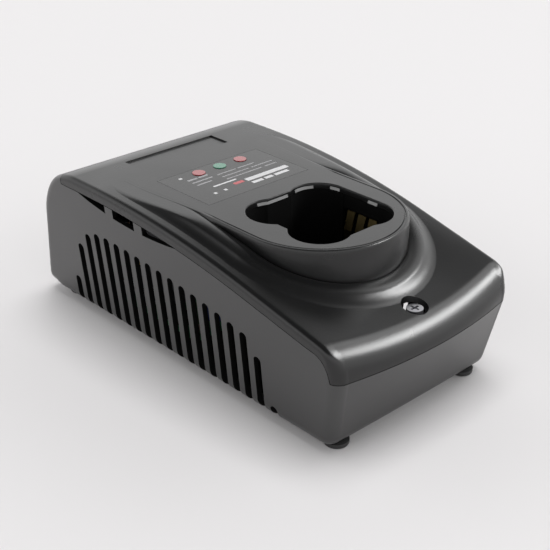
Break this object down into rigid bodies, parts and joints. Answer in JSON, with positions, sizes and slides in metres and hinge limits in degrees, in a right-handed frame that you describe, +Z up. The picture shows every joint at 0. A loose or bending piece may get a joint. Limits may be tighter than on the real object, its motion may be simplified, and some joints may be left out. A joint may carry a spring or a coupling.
{
  "type": "power tool battery charger",
  "caption": "Charger for a stem-type power tool battery, with a lobed socket in a raised platform, status lenses, side vents and sprung contacts",
  "frame": {"origin": "centre of the bounding box, at the surface the feet stand on", "axes": "+X right seen from the front, +Y from the low front end to the back, +Z up"},
  "size_m": [0.1108, 0.208, 0.0723],
  "materials": {
    "base_plastic": "satin, fine grain",
    "cover_plastic": "satin, fine grain",
    "well_plastic": "satin",
    "label_face": "printed film",
    "lens_red": "clear tinted",
    "lens_green": "clear tinted",
    "board_laminate": "solder mask",
    "led_body": "clear resin",
    "screw_steel": "zinc plated",
    "ribbon_grey": "flat cable",
    "carrier_plastic": "moulded",
    "contact_brass": "plated spring strip",
    "lead_red": "insulated wire",
    "core_ferrite": "dull",
    "winding_copper": "varnished wire",
    "sink_aluminium": "extruded",
    "component_black": "moulded",
    "capacitor_sleeve": "shrink sleeve",
    "film_yellow": "moulded box",
    "fuse_glass": "clear tube",
    "relay_blue": "moulded box",
    "terminal_green": "moulded",
    "gland_rubber": "soft",
    "foot_rubber": "soft",
    "plate_grey": "bare film"
  },
  "bodies": {
    "charger": {"base_housing": "base_plastic", "top_cover": "cover_plastic", "battery_well": "well_plastic", "status_label": "label_face", "lens_charge": "lens_red", "lens_ready": "lens_green", "lens_fault": "lens_red", "indicator_board": "board_laminate", "indicator_leds": "led_body", "indicator_screws": "screw_steel", "indicator_ribbon": "ribbon_grey", "contact_carrier": "component_black", "contact_leads": "lead_red", "main_board": "board_laminate", "board_screws": "screw_steel", "transformer_core": "core_ferrite", "transformer_bobbin": "carrier_plastic", "transformer_winding": "winding_copper", "heat_sink": "sink_aluminium", "power_transistors": "component_black", "transistor_clip": "screw_steel", "bridge_rectifier": "component_black", "mains_capacitor": "capacitor_sleeve", "output_capacitors": "capacitor_sleeve", "suppression_capacitor": "film_yellow", "line_choke": "winding_copper", "fuse": "fuse_glass", "fuse_clips": "screw_steel", "controller_chip": "component_black", "output_relay": "relay_blue", "mains_terminal": "terminal_green", "cord_gland": "gland_rubber", "cord_clamp": "component_black", "clamp_screws": "screw_steel", "front_screw": "screw_steel", "rear_screws": "screw_steel", "foot_front_left": "foot_rubber", "foot_front_right": "foot_rubber", "foot_rear_left": "foot_rubber", "foot_rear_right": "foot_rubber", "rating_plate": "plate_grey"},
    "contact_positive_leaf": {"contact_positive": "contact_brass"},
    "contact_negative_leaf": {"contact_negative": "contact_brass"},
    "contact_sensor_leaf": {"contact_sensor": "contact_brass"}
  },
  "joints": [
    {"name": "contact_positive_flex", "type": "hinge", "parent": "charger", "child": "contact_positive_leaf", "pos_m": [0.0269, -0.0432, 0.032], "axis": [0, 1, 0], "range_deg": [0, 5], "stiffness_Nm_per_rad": 0.05},
    {"name": "contact_negative_flex", "type": "hinge", "parent": "charger", "child": "contact_negative_leaf", "pos_m": [0.0269, -0.0304, 0.032], "axis": [0, 1, 0], "range_deg": [0, 5], "stiffness_Nm_per_rad": 0.05},
    {"name": "contact_sensor_flex", "type": "hinge", "parent": "charger", "child": "contact_sensor_leaf", "pos_m": [0.0269, -0.0368, 0.032], "axis": [0, 1, 0], "range_deg": [0, 5], "stiffness_Nm_per_rad": 0.05}
  ]
}
